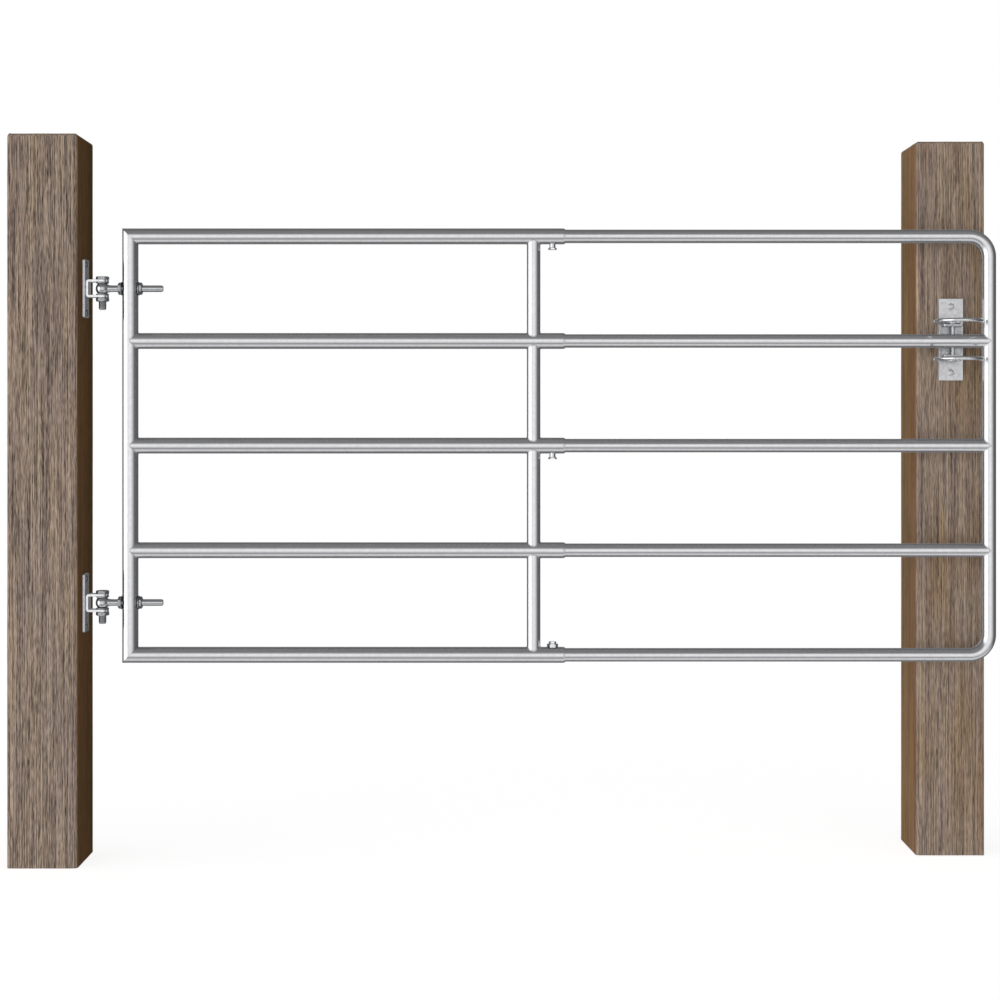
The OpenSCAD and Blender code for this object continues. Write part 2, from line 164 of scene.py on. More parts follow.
# %% Paint the studio as the world
def paint_studio():
    world = bpy.data.worlds.new("soft_studio")
    world.use_nodes = True
    tree = world.node_tree
    tree.nodes.clear()
    toward = node(tree, "TexCoord").outputs["Generated"]
    parts = node(tree, "SeparateXYZ", links={0: toward}).outputs
    front = node(tree, "Math", {0: 0.0}, {1: parts["Y"]}, operation="SUBTRACT").outputs[0]
    turned_by = node(tree, "Math", links={0: parts["X"], 1: front}, operation="ARCTAN2").outputs[0]
    tipped_by = node(tree, "Math", links={0: parts["Z"], 1: front}, operation="ARCTAN2").outputs[0]
    height = node(tree, "Math", links={0: parts["Z"]}, operation="ARCSINE").outputs[0]

    def read_off(angle, table, brightest=1.0):
        along = node(tree, "MapRange", {1: -math.pi, 2: math.pi}, {0: angle}).outputs[0]
        stops = [(0.5 + degrees / 360, tone / brightest) for degrees, tone in table]
        return node(tree, "ValToRGB", links={0: along}, ramp=stops).outputs[0]

    around, over = read_off(turned_by, AROUND, BRIGHTEST), read_off(tipped_by, OVER, BRIGHTEST)
    shares = {0: read_off(height, LEVEL_SHARE), 1: read_off(turned_by, SIDE_SHARE)}
    share = node(tree, "Math", links=shares, operation="MULTIPLY").outputs[0]
    room = node(tree, "MixRGB", links={0: share, 1: over, 2: around}).outputs[0]
    light = node(tree, "Background", {"Strength": BRIGHTEST * STUDIO_LEVEL}, {"Color": room}).outputs[0]
    white = node(tree, "Background", {"Color": linear("#FFFFFF"), "Strength": 1}).outputs[0]
    ray = node(tree, "LightPath").outputs
    behind = node(tree, "Math", {1: BACKDROP_EDGE}, {0: parts["Y"]}, operation="GREATER_THAN").outputs[0]
    mirrored = node(tree, "Math", links={0: ray["Is Glossy Ray"], 1: behind}, operation="MULTIPLY").outputs[0]
    seen = node(tree, "Math", links={0: ray["Is Camera Ray"], 1: ray["Is Transmission Ray"]},
                operation="ADD").outputs[0]
    seen = node(tree, "Math", links={0: seen, 1: mirrored}, operation="ADD", use_clamp=True).outputs[0]
    both = node(tree, "MixShader", links={0: seen, 1: light, 2: white}).outputs[0]
    node(tree, "OutputWorld", links={"Surface": both})
    bpy.context.scene.world = world
    return world


print("world:", paint_studio().name)

# %% [markdown]
# ## The floor
# A pale floor takes a soft shadow near the posts, and further out it turns into the white of the
# backdrop, so no horizon shows. Part of its white is its own paint in the studio light and the
# rest is a faint glow. The floor is kept out of mirrors and of the light that bounces about: the
# studio paints a floor of its own below, which metal shows in the same way at any height.

# %% Lay the floor
FLOOR_PAINT = 0.5
FLOOR_GLOW = 0.84
FLOOR_RADIUS = 14
FLOOR_CENTRE = (0.93, 0, -0.0005)
FADE_FROM, FADE_TO = 2.2, 3.4


def lay_floor():
    bpy.ops.object.select_all(action="DESELECT")
    bpy.ops.mesh.primitive_circle_add(vertices=96, radius=FLOOR_RADIUS, fill_type="NGON",
                                      location=FLOOR_CENTRE)
    floor = bpy.context.object
    floor.name = "pale_floor"
    material = bpy.data.materials.new("pale_floor")
    material.use_nodes = True
    tree = material.node_tree
    tree.nodes.clear()
    place = node(tree, "TexCoord").outputs["Object"]
    away = node(tree, "VectorMath", links={0: place}, operation="LENGTH").outputs["Value"]
    far = node(tree, "MapRange", {1: FADE_FROM, 2: FADE_TO}, {0: away}).outputs[0]
    paint = node(tree, "BsdfDiffuse", {"Color": (FLOOR_PAINT, FLOOR_PAINT, FLOOR_PAINT, 1)}).outputs[0]
    ray = node(tree, "LightPath").outputs
    seen = node(tree, "Math", links={0: ray["Is Camera Ray"], 1: ray["Is Glossy Ray"]}, operation="ADD")
    seen = node(tree, "Math", links={0: seen.outputs[0], 1: ray["Is Transmission Ray"]},
                operation="ADD", use_clamp=True).outputs[0]
    near_glow = node(tree, "Math", {1: FLOOR_GLOW}, {0: seen}, operation="MULTIPLY").outputs[0]
    glow = node(tree, "Emission", links={"Strength": near_glow}).outputs[0]
    near = node(tree, "AddShader", links={0: paint, 1: glow}).outputs[0]
    white = node(tree, "Emission", {"Strength": 1}).outputs[0]
    both = node(tree, "MixShader", links={0: far, 1: near, 2: white}).outputs[0]
    node(tree, "OutputMaterial", links={"Surface": both})
    floor.data.materials.append(material)
    floor.visible_glossy = False
    floor.visible_diffuse = False
    return floor


print("floor:", lay_floor().name)

# %% [markdown]
# ## Weathered timber
# The posts are square sawn softwood that has stood outside. Their side faces carry painted shade:
# a deeper brown laid on by the way a face points, deepest on the hinge post, whose side is turned
# from the light, and growing deeper towards the back edge. To the eye it is a mass of fine upright
# streaks over slow patches of tan and grey, with dark pores and pale slivers among them. Noise
# stretched along the post gives all of these. Long streaks and short fibres are woven into one
# grain, which also sets the relief. Real fibres are a tenth as wide and would vanish at this
# distance, so they are drawn about 1.5 mm wide. The way a face points says where the painted
# shade goes, and a top face shows the year rings, some 8 mm apart, round a pith that is off centre.

# %% Noise, mixing and year rings
GRAIN_MM = 1.5
SWAY = 6 * MM
SIDE_FADE = 60 * MM
PITH = (0.03, -0.045, 0)


def stretched(tree, across_mm, along_mm, source, detail=1.0):
    """Noise whose spots are across_mm wide and along_mm long, up the post."""
    scale = (1 / (across_mm * MM), 1 / (across_mm * MM), 1 / (along_mm * MM))
    vector = node(tree, "Mapping", {"Scale": scale}, {"Vector": source}).outputs[0]
    return node(tree, "TexNoise", {"Scale": 1.0, "Detail": detail, "Roughness": 0.5},
                {"Vector": vector}).outputs


def mixed(tree, share, under, over, kind="MIX"):
    """A mix whose three inputs may each be a number, a colour or another node's output."""
    sockets = {0: share, 1: under, 2: over}
    fixed = {socket: value for socket, value in sockets.items() if isinstance(value, (float, tuple))}
    linked = {socket: output for socket, output in sockets.items() if socket not in fixed}
    return node(tree, "MixRGB", fixed, linked, blend_type=kind).outputs[0]


def year_rings(tree, place):
    pith = node(tree, "Mapping", {"Location": PITH, "Scale": (1, 1, 0)}, {"Vector": place}).outputs[0]
    rings = node(tree, "TexWave", {"Scale": 38.0, "Distortion": 3.0, "Detail": 2.0},
                 {"Vector": pith}, wave_type="RINGS", rings_direction="Z").outputs["Fac"]
    return node(tree, "ValToRGB", links={0: rings}, ramp=[
        (0.0, linear("#5A483A")), (0.55, linear("#8A7663")), (1.0, linear("#A08B74"))]).outputs[0]


print("grain", GRAIN_MM, "mm wide, swaying by up to", round(SWAY / 2 / MM), "mm")


# %% Mix the timber
def weathered_timber(name, centre, patch_tone, side_shade, back_shade, depth_of_grain):
    """The last two tints are painted shade: they darken the side faces, at their front and at their back
    edge.
    """
    material = bpy.data.materials.new(name)
    material.use_nodes = True
    tree = material.node_tree
    tree.nodes.clear()
    coordinates = node(tree, "TexCoord").outputs
    place = node(tree, "Mapping", {"Location": (-centre.x, -centre.y, 0)},
                 {"Vector": coordinates["Object"]}).outputs[0]
    facing = node(tree, "SeparateXYZ", links={0: coordinates["Normal"]}).outputs
    # How far a face points sideways: this mask places the painted shade and smooths the grain there
    sideways = node(tree, "Math", links={0: facing["X"]}, operation="ABSOLUTE").outputs[0]
    shade_on_sides = node(tree, "MapRange", {1: 0.8, 2: 1.0}, {0: sideways}).outputs[0]

    sway = node(tree, "VectorMath", {1: (0.5, 0.5, 0.5)}, {0: stretched(tree, 90, 300, place, 2.0)["Color"]},
                operation="SUBTRACT").outputs[0]
    sway = node(tree, "VectorMath", {1: (SWAY, SWAY, 0)}, {0: sway}, operation="MULTIPLY").outputs[0]
    grain = node(tree, "VectorMath", links={0: place, 1: sway}, operation="ADD").outputs[0]

    bands = stretched(tree, 17, 420, grain, 2.0)["Fac"]
    streaks = stretched(tree, 1.4, 300, grain)["Fac"]
    fibres = stretched(tree, GRAIN_MM, 18, grain)["Fac"]
    weave = mixed(tree, 0.42, streaks, fibres)
    slivers = stretched(tree, GRAIN_MM, 60, grain)["Fac"]
    pores = stretched(tree, GRAIN_MM, 48, grain)["Fac"]
    patches = stretched(tree, 60, 300, place, 2.0)["Fac"]

    tone = node(tree, "ValToRGB", links={0: bands}, ramp=[
        (0.36, linear("#89776D")), (0.5, linear("#978577")), (0.64, linear("#9E8A77"))]).outputs[0]
    warm = node(tree, "ValToRGB", links={0: patches}, ramp=[(0.46, 0.0), (0.66, 0.5)]).outputs[0]
    tone = mixed(tree, warm, tone, linear(patch_tone))
    fine = node(tree, "ValToRGB", links={0: weave}, ramp=[
        (0.36, 1 - 0.82 * depth_of_grain), (0.5, 1.0), (0.64, 1 + 0.92 * depth_of_grain)]).outputs[0]
    smooth = node(tree, "Math", {1: 0.75}, {0: shade_on_sides}, operation="MULTIPLY").outputs[0]
    fine = mixed(tree, smooth, fine, linear("#FFFFFF"))
    tone = mixed(tree, 1.0, tone, fine, "MULTIPLY")
    dark = node(tree, "ValToRGB", links={0: pores},
                ramp=[(0.34, 0.6 * depth_of_grain), (0.41, 0.0)]).outputs[0]
    tone = mixed(tree, dark, tone, linear("#52443B"))
    light = node(tree, "ValToRGB", links={0: slivers},
                 ramp=[(0.60, 0.0), (0.68, 0.55 * depth_of_grain)]).outputs[0]
    tone = mixed(tree, light, tone, linear("#BCA88C"))
    # Painted shade: side faces are multiplied darker and browner, more so towards their back edge
    depth = node(tree, "SeparateXYZ", links={0: place}).outputs["Y"]
    depth = node(tree, "MapRange", {1: -SIDE_FADE, 2: SIDE_FADE}, {0: depth}).outputs[0]
    shade = mixed(tree, depth, (*side_shade, 1.0), (*back_shade, 1.0))
    shaded = mixed(tree, 1.0, tone, shade, "MULTIPLY")
    tone = mixed(tree, shade_on_sides, tone, shaded)

    rings = year_rings(tree, place)
    upward = node(tree, "Math", links={0: facing["Z"]}, operation="ABSOLUTE").outputs[0]
    end_grain = node(tree, "MapRange", {1: 0.7, 2: 0.85}, {0: upward}).outputs[0]
    tone = mixed(tree, end_grain, tone, rings)

    relief = node(tree, "Math", links={0: weave, 1: slivers}, operation="ADD").outputs[0]
    bump = node(tree, "Bump", {"Strength": 0.5, "Distance": 0.0012}, {"Height": relief}).outputs[0]
    skin = node(tree, "BsdfPrincipled", {"Roughness": 0.85, "IOR": 1.5, "Specular IOR Level": 0.2},
                {"Base Color": tone, "Normal": bump}).outputs[0]
    node(tree, "OutputMaterial", links={"Surface": skin})
    return material


# The hinge post's side is turned from the light, so its painted shade is the deeper of the two
hinge_timber = weathered_timber(
    "weathered_timber_hinge_post", post_middle, "#8C7C74",
    side_shade=(0.62, 0.38, 0.15), back_shade=(0.42, 0.27, 0.05), depth_of_grain=1.0)
latch_timber = weathered_timber(
    "weathered_timber_latch_post", latch_post_middle, "#866A46",
    side_shade=(0.86, 0.62, 0.41), back_shade=(0.78, 0.66, 0.41), depth_of_grain=0.75)
print("timber:", hinge_timber.name, latch_timber.name)

# %% [markdown]
# ## Zinc on steel
# Everything else is steel with a skin of zinc. The tubes and their welds are hot-dip galvanised: a
# soft bright grey with faint clouds where the zinc froze. The latch's plate and bolts have a
# thicker and rougher coat, its bracket and pin a satin one, and the hinge's plates a smooth one
# whose darker grey is painted shade, as they face the dark side of the studio. Nuts, bolts and
# washers are electroplated a darker grey, and the forged eyes are rubbed until they shine. The
# latch's rings, the clamps and the hinge's yokes are nearly bright.
# One recipe serves all seven: a metal whose tone and roughness drift together in clouds of a real
# size, in millimetres, over a very low relief. The metal keeps its own index of refraction.

# %% Mix the zinc finishes
def zinc_finish(name, pale, dull, smoothest, roughest, cloud_mm, relief_mm):
    """A zinc coat between two tones and two roughnesses, in clouds cloud_mm across."""
    material = bpy.data.materials.new(name)
    material.use_nodes = True
    tree = material.node_tree
    tree.nodes.clear()
    place = node(tree, "TexCoord").outputs["Object"]
    clouds = node(tree, "TexNoise", {"Scale": 1 / (cloud_mm * MM), "Detail": 3.0, "Roughness": 0.55},
                  {"Vector": place}).outputs["Fac"]
    tone = node(tree, "ValToRGB", links={0: clouds},
                ramp=[(0.35, linear(dull)), (0.62, linear(pale))]).outputs[0]
    rough = node(tree, "MapRange", {1: 0.35, 2: 0.65, 3: roughest, 4: smoothest}, {0: clouds}).outputs[0]
    bump = node(tree, "Bump", {"Strength": 0.4, "Distance": relief_mm * MM}, {"Height": clouds}).outputs[0]
    skin = node(tree, "BsdfPrincipled", {"Metallic": 1.0},
                {"Base Color": tone, "Roughness": rough, "Normal": bump}).outputs[0]
    node(tree, "OutputMaterial", links={"Surface": skin})
    return material


galvanised_tube = zinc_finish("hot_dip_galvanised_tube", "#D1D1D3", "#CCCCCF", 0.19, 0.23, 9, 0.02)
zinc_plate = zinc_finish("bright_galvanised_plate", "#D1D1D2", "#C5C5C7", 0.38, 0.48, 6, 0.03)
# The hinge plates' darker grey is painted shade: they face the dark side of the studio
shaded_plate = zinc_finish("shaded_smooth_galvanised_plate", "#AAAAAD", "#9C9DA0", 0.13, 0.19, 5, 0.015)
bracket_zinc = zinc_finish("satin_zinc_bracket", "#BDBFC1", "#AFB1B3", 0.36, 0.46, 5, 0.02)
zinc_fastener = zinc_finish("zinc_plated_fasteners", "#A9ABAD", "#919396", 0.32, 0.42, 3, 0.05)
forged_eye = zinc_finish("polished_zinc_eye", "#C2C3C5", "#B2B4B6", 0.14, 0.20, 4, 0.03)
bright_bar = zinc_finish("bright_zinc_bar", "#DCDDDF", "#C8CACD", 0.14, 0.20, 4, 0.03)
finishes = {"galvanised_tube": galvanised_tube, "zinc_plate": zinc_plate, "bright_bar": bright_bar,
            "zinc_fastener": zinc_fastener, "timber": hinge_timber}
for cad_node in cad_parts.values():
    for place in cad_node.material_slots:
        place.material = finishes.get(place.material.name, place.material)
print("finishes on the frame:", sorted({s.material.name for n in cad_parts.values()
                                        for s in n.material_slots}))

# %% [markdown]
# ## A few bench tools
# The pieces below are made as they would be by hand: put a primitive at its size and place, go
# into edit mode, pick vertices, edges or faces, and work on them. In a script the picking is done
# by where things are. These helpers do the picking, apply modifiers and copy finished pieces.

# %% Pick up, name and choose
NEAR = 0.01 * MM


def at(value, place):
    return abs(value - place) < NEAR


def pick_up(piece):
    """Selects this piece alone, as the operators act on all that is selected."""
    bpy.ops.object.select_all(action="DESELECT")
    piece.select_set(True)
    bpy.context.view_layer.objects.active = piece


def name_new(name):
    """Names what was just added, and applies its place so that the object sits at the origin."""
    piece = bpy.context.object
    piece.name = piece.data.name = name
    bpy.ops.object.transform_apply(location=True, rotation=True, scale=True)
    return piece


def choose(piece, kind, wanted):
    """Goes into edit mode and selects the vertices, edges or faces that wanted() says yes to."""
    if bpy.context.mode != "EDIT_MESH":
        pick_up(piece)
        bpy.ops.object.mode_set(mode="EDIT")
    bpy.ops.mesh.select_mode(type=kind)
    bpy.ops.mesh.select_all(action="DESELECT")
    form = bmesh.from_edit_mesh(piece.data)
    chosen = [part for part in {"VERT": form.verts, "EDGE": form.edges, "FACE": form.faces}[kind]
              if wanted(part)]
    for part in chosen:
        part.select_set(True)
    form.select_flush_mode()
    bmesh.update_edit_mesh(piece.data)
    return len(chosen)


def leave_edit():
    bpy.ops.object.mode_set(mode="OBJECT")


def runs_along(edge, axis):
    along = (edge.verts[1].co - edge.verts[0].co).normalized()
    return abs(along[axis]) > 0.99


print("a thing is at a place if it is nearer than", NEAR / MM, "mm")


# %% Modify, soften, join and copy
def modify(piece, kind, **settings):
    """Adds a modifier and applies it."""
    pick_up(piece)
    modifier = piece.modifiers.new(kind.lower(), kind)
    for name, value in settings.items():
        setattr(modifier, name, value)
    bpy.ops.object.modifier_apply(modifier=modifier.name)


def soften(piece, width_mm):
    """Takes the sharpness off every edge, then shades the rounds smooth and the flats flat."""
    modify(piece, "BEVEL", width=width_mm * MM, segments=2, limit_method="ANGLE",
           angle_limit=math.radians(32))
    pick_up(piece)
    bpy.ops.object.shade_smooth_by_angle(angle=math.radians(38))
    modify(piece, "WEIGHTED_NORMAL", keep_sharp=True)


def block(name, low, high):
    """A cube that fills a box, as the start of a sawn or cut piece."""
    bpy.ops.object.select_all(action="DESELECT")
    bpy.ops.mesh.primitive_cube_add(size=1, location=(low + high) / 2, scale=high - low)
    return name_new(name)


def combine(piece, other, operation):
    """Joins, cuts or intersects piece with other, and uses other up."""
    modify(piece, "BOOLEAN", operation=operation, object=other, solver="EXACT")
    bpy.data.objects.remove(other, do_unlink=True)
    return piece


def copy_of(piece, name, move):
    """A copy with its own mesh, moved along."""
    pick_up(piece)
    bpy.ops.object.duplicate(linked=False)
    bpy.ops.transform.translate(value=move)
    return name_new(name)


# %% Hand a finished piece in
def hand_in(piece, finish, slot, body, *stands_for):
    """Gives a finished piece its material and says what it rides on and which nodes it replaces."""
    piece.data.materials.clear()
    piece.data.materials.append(finish)
    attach(piece, body)
    if stands_for:
        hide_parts(*stands_for)
    print(piece.name, len(piece.data.polygons), "faces")
    return piece


# %% [markdown]
# ## Turned shapes and hexagons
# Bolts, washers, eyes and bosses are round about one line, so each is spun from half an outline:
# one vertex is extruded from point to point and the chain is spun a full turn. A hexagon head is
# what a hexagon bar and a turned form have in common, which is just how the chamfer on a real nut
# comes about, curved edges and all.

# %% Turn an outline
def turned(name, outline, centre, axis, steps=48):
    """outline is [(radius, distance along the axis)] in mm, from one end of the piece to the other."""
    axis = Vector(axis)
    side = Vector((0, 0, 1)) if abs(axis.z) < 0.5 else Vector((1, 0, 0))
    points = [centre + (side * radius + axis * along) * MM for radius, along in outline]
    bpy.ops.object.select_all(action="DESELECT")
    bpy.ops.mesh.primitive_plane_add(size=MM, location=points[0])
    piece = name_new(name)
    bpy.ops.object.mode_set(mode="EDIT")
    bpy.ops.mesh.select_mode(type="VERT")
    bpy.ops.mesh.select_all(action="SELECT")
    bpy.ops.mesh.merge(type="CENTER")
    for here, there in zip(points, points[1:]):
        bpy.ops.mesh.extrude_region_move(TRANSFORM_OT_translate={"value": there - here})
    bpy.ops.mesh.select_all(action="SELECT")
    bpy.ops.mesh.spin(steps=steps, angle=math.tau, center=centre, axis=axis)
    bpy.ops.mesh.select_all(action="SELECT")
    bpy.ops.mesh.remove_doubles(threshold=NEAR)
    bpy.ops.mesh.normals_make_consistent(inside=False)
    leave_edit()
    pick_up(piece)
    bpy.ops.object.shade_smooth_by_angle(angle=math.radians(38))
    return piece


# %% Cut a hexagon
def hexagonal(name, flats, outline, centre, axis, corner):
    """What a hexagon bar, flats mm across, shares with the turned outline. corner is where one of
    its corners points."""
    piece = turned(name, outline, centre, axis)
    start, end = min(along for _, along in outline), max(along for _, along in outline)
    axis, corner = Vector(axis), Vector(corner)
    turn = Matrix((corner.cross(axis), corner, axis)).transposed().to_euler()
    bpy.ops.object.select_all(action="DESELECT")
    bpy.ops.mesh.primitive_cylinder_add(
        vertices=6, radius=flats / math.sqrt(3) * MM, depth=(end - start + 2) * MM,
        location=centre + axis * (end + start) / 2 * MM, rotation=turn)
    combine(piece, name_new("hexagon_bar"), "INTERSECT")
    pick_up(piece)
    bpy.ops.object.shade_smooth_by_angle(angle=math.radians(25))
    return piece


# %% Outlines of nuts, heads, rings and threads
# The slope of the chamfer on the corners, and how far an outline stands out past the corners
CHAMFER = math.tan(math.radians(30))
PAST_CORNERS = 0.3


def nut_outline(flats, bore, height, sink=0.9):
    """Both faces chamfered, and the bore countersunk: an outline that ends where it starts."""
    corner, face = flats / math.sqrt(3) + PAST_CORNERS, flats / 2 * 0.96
    rise = (corner - face) * CHAMFER
    return [(bore, sink), (bore + sink, 0), (face, 0), (corner, rise), (corner, height - rise),
            (face, height), (bore + sink, height), (bore, height - sink), (bore, sink)]


def head_outline(flats, height, step=0.5, dish=0.3):
    """A bolt head: a low washer face underneath, one wide chamfer and a shallow dish on top."""
    corner, face = flats / math.sqrt(3) + PAST_CORNERS, flats / 2 * 0.97
    rise = (corner - face) * CHAMFER
    return [(0, 0), (face, 0), (face, step), (corner, step), (corner, height - rise),
            (face, height), (face * 0.55, height), (face * 0.5, height - dish), (0, height - dish)]


def ring_outline(bore, outer, low, high, inner_chamfer, outer_chamfer):
    """A washer or a hub from low to high with its corners chamfered, closed on itself."""
    return [(bore, low + inner_chamfer), (bore + inner_chamfer, low), (outer - outer_chamfer, low),
            (outer, low + outer_chamfer), (outer, high - outer_chamfer),
            (outer - outer_chamfer, high), (bore + inner_chamfer, high),
            (bore, high - inner_chamfer), (bore, low + inner_chamfer)]


def thread(radius, start, end, pitch=2.0, depth=0.45):
    """Rolled thread drawn as close rings: at this size a spiral could not be told from them."""
    step = math.copysign(pitch / 2, end - start)
    count = int(abs(end - start) / pitch)
    points = []
    for turn in range(count):
        points += [(radius - depth, start + 2 * turn * step), (radius, start + (2 * turn + 1) * step)]
    return points


print("a nut 24 mm across its flats is", round(48 / math.sqrt(3), 1), "mm across its corners")

# %% [markdown]
# ## The posts
# Each post is a squared baulk. Its long edges have been knocked and weathered round, the one at
# the front beside the gate most of all, its faces are not quite flat, and the top is a saw cut.
# A cube gets its four long edges and the top edges bevelled round, then enough cuts to carry a
# shallow, uneven wear that only goes inwards: slow hollows with smaller ones on them.
# Bright zinc close to a post would mirror it as a broad brown stripe. The posts are kept out of
# mirrors, so the metal beside them stays a neutral grey.

# %% Square, round and weather the posts
EASED_MM = 5
TOP_MM = 7
CUT_MM = 14.9
CUTS_ACROSS = 12
# The size of the hollows in metres and their depth in millimetres
WEAR = ((0.05, 0.6), (0.016, 0.3))
# Hollows are this many times as long as they are wide
STRETCH = 5


def weathered_post(name, node_name, seed, gate_side, worn_mm):
    """gate_side is 1 where the gate is towards +X. The seed gives each post its own hollows."""
    low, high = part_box(node_name)
    centre = (low + high) / 2
    piece = block(name, low, high)

    def most_worn(edge):
        corner = edge.verts[0].co
        return runs_along(edge, 2) and (corner.x - centre.x) * gate_side > 0 and corner.y < centre.y

    choose(piece, "EDGE", lambda e: runs_along(e, 2) and not most_worn(e))
    bpy.ops.mesh.bevel(offset=EASED_MM * MM, segments=4, affect="EDGES")
    choose(piece, "EDGE", most_worn)
    bpy.ops.mesh.bevel(offset=worn_mm * MM, segments=6, affect="EDGES")
    choose(piece, "EDGE", lambda e: all(at(v.co.z, high.z) for v in e.verts)
           and len([f for f in e.link_faces if f.normal.z > 0.9]) == 1)
    bpy.ops.mesh.bevel(offset=TOP_MM * MM, segments=4, affect="EDGES")
    for cut in range(1, int((high.z - low.z) / (CUT_MM * MM))):
        choose(piece, "FACE", lambda f: True)
        bpy.ops.mesh.bisect(plane_co=(0, 0, low.z + cut * CUT_MM * MM), plane_no=(0, 0, 1))
    for axis in (0, 1):
        for cut in range(1, CUTS_ACROSS):
            spot = low.lerp(high, cut / CUTS_ACROSS)
            choose(piece, "FACE", lambda f: True)
            bpy.ops.mesh.bisect(plane_co=spot, plane_no=(axis == 0, axis == 1, 0))
    leave_edit()
    guide = bpy.data.objects.new("grain_guide", None)
    guide.location = (seed, seed * 2, 0)
    guide.scale = (1, 1, STRETCH)
    bpy.context.scene.collection.objects.link(guide)
    bpy.context.view_layer.update()
    for size, depth_mm in WEAR:
        texture = bpy.data.textures.new("weathering", "CLOUDS")
        texture.noise_scale = size
        modify(piece, "DISPLACE", texture=texture, texture_coords="OBJECT",
               texture_coords_object=guide, strength=depth_mm * MM, mid_level=1.0)
    bpy.data.objects.remove(guide)
    pick_up(piece)
    bpy.ops.object.shade_smooth_by_angle(angle=math.radians(50))
    return piece


hinge_post = weathered_post("hinge_post_baulk", "hinge_post", seed=0.3, gate_side=1, worn_mm=9)
hand_in(hinge_post, hinge_timber, "timber", "root", "hinge_post")
latch_post = weathered_post("latch_post_baulk", "latch_post", seed=1.7, gate_side=-1, worn_mm=7)
hand_in(latch_post, latch_timber, "timber", "root", "latch_post")
for post in (hinge_post, latch_post):
    post.visible_glossy = False

# %% [markdown]
# ## The hinge's plate and yoke
# A flat bar is screwed to the post. Welded on it is a yoke: a strap folded to a U, with its two
# ends cut round where the pivot passes. The yoke starts as one plane as wide as the strap, which
# is extruded round the U along its middle line. The two folds and the four corners at its ends
# are bevelled round while it has no thickness, and Solidify then makes it as thick as the bar.
# Folding a thin sheet first keeps the wall even round the bends, as in a real press.

# %% Hinge plate
DRESSED_MM = 0.6


def flat_plate(name, node_name, across, corner_mm):
    """A cut plate that is thin along axis across. Its four corners and every edge are dressed."""
    low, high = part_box(node_name)
    piece = block(name, low, high)
    choose(piece, "EDGE", lambda e: runs_along(e, across))
    bpy.ops.mesh.bevel(offset=corner_mm * MM, segments=4, affect="EDGES")
    leave_edit()
    soften(piece, DRESSED_MM)
    return piece


upper_plate = flat_plate("upper_hinge_backplate", "upper_hinge_plate", across=0, corner_mm=2.5)
lower_plate = copy_of(upper_plate, "lower_hinge_backplate", lower_hinge)
hand_in(upper_plate, shaded_plate, "zinc_plate", "root", "upper_hinge_plate")
hand_in(lower_plate, shaded_plate, "zinc_plate", "root", "lower_hinge_plate")

# %% Hinge yoke
PLATE_MM = 5
FOLD_MM = 3.5
STRAP_EDGE_MM = 0.5


def folded_yoke(name, low, high, forward, end_mm):
    """A strap folded to a U that opens along axis forward (0 for +X, 1 for -Y)."""
    half = PLATE_MM / 2 * MM
    inner_low, inner_high = low + Vector((half, half, half)), high - Vector((half, half, half))
    if forward == 0:
        inner_low.y, inner_high.y = low.y, high.y
        tip, back = high.x, inner_low.x
        step = Vector((high.x - inner_low.x, 0, 0))
    else:
        inner_low.x, inner_high.x = low.x, high.x
        tip, back = low.y, inner_high.y
        step = Vector((0, low.y - inner_high.y, 0))
    start_low, start_high = inner_low.copy(), inner_high.copy()
    start_low[forward], start_high[forward] = min(tip, back), max(tip, back)
    start_low.z = start_high.z = inner_high.z
    bpy.ops.object.select_all(action="DESELECT")
    bpy.ops.mesh.primitive_plane_add(size=1, location=(start_low + start_high) / 2)
    bpy.context.object.scale = (start_high.x - start_low.x, start_high.y - start_low.y, 1)
    piece = name_new(name)
    choose(piece, "EDGE", lambda e: all(at(v.co[forward], back) for v in e.verts))
    bpy.ops.mesh.extrude_region_move(
        TRANSFORM_OT_translate={"value": (0, 0, inner_low.z - inner_high.z)})
    bpy.ops.mesh.extrude_region_move(TRANSFORM_OT_translate={"value": step})
    choose(piece, "EDGE", lambda e: all(at(v.co[forward], back) for v in e.verts)
           and runs_along(e, 1 - forward))
    bpy.ops.mesh.bevel(offset=FOLD_MM * MM, segments=4, affect="EDGES")
    choose(piece, "VERT", lambda v: at(v.co[forward], tip))
    bpy.ops.mesh.bevel(offset=end_mm * MM, segments=8, affect="VERTICES")
    bpy.ops.mesh.select_all(action="SELECT")
    bpy.ops.mesh.normals_make_consistent(inside=False)
    leave_edit()
    modify(piece, "SOLIDIFY", thickness=PLATE_MM * MM, offset=0, use_even_offset=True)
    choose(piece, "FACE", lambda f: True)
    bpy.ops.mesh.normals_make_consistent(inside=False)
    leave_edit()
    soften(piece, STRAP_EDGE_MM)
    return piece


upper_yoke = folded_yoke("upper_hinge_fork", *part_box("upper_hinge_yoke"), forward=0, end_mm=12.4)
lower_yoke = copy_of(upper_yoke, "lower_hinge_fork", lower_hinge)
hand_in(upper_yoke, bright_bar, "zinc_plate", "root", "upper_hinge_yoke")
hand_in(lower_yoke, bright_bar, "zinc_plate", "root", "lower_hinge_yoke")

# %% [markdown]
# ## Screws in the timber
# The heads are low, flat domes with a thin rim where they meet the plate. A dome is part of a
# ball, so its points lie on an arc whose radius follows from its width and rise. The shank is
# modelled as well, tapered to its point inside the timber, so the screw is a whole piece.

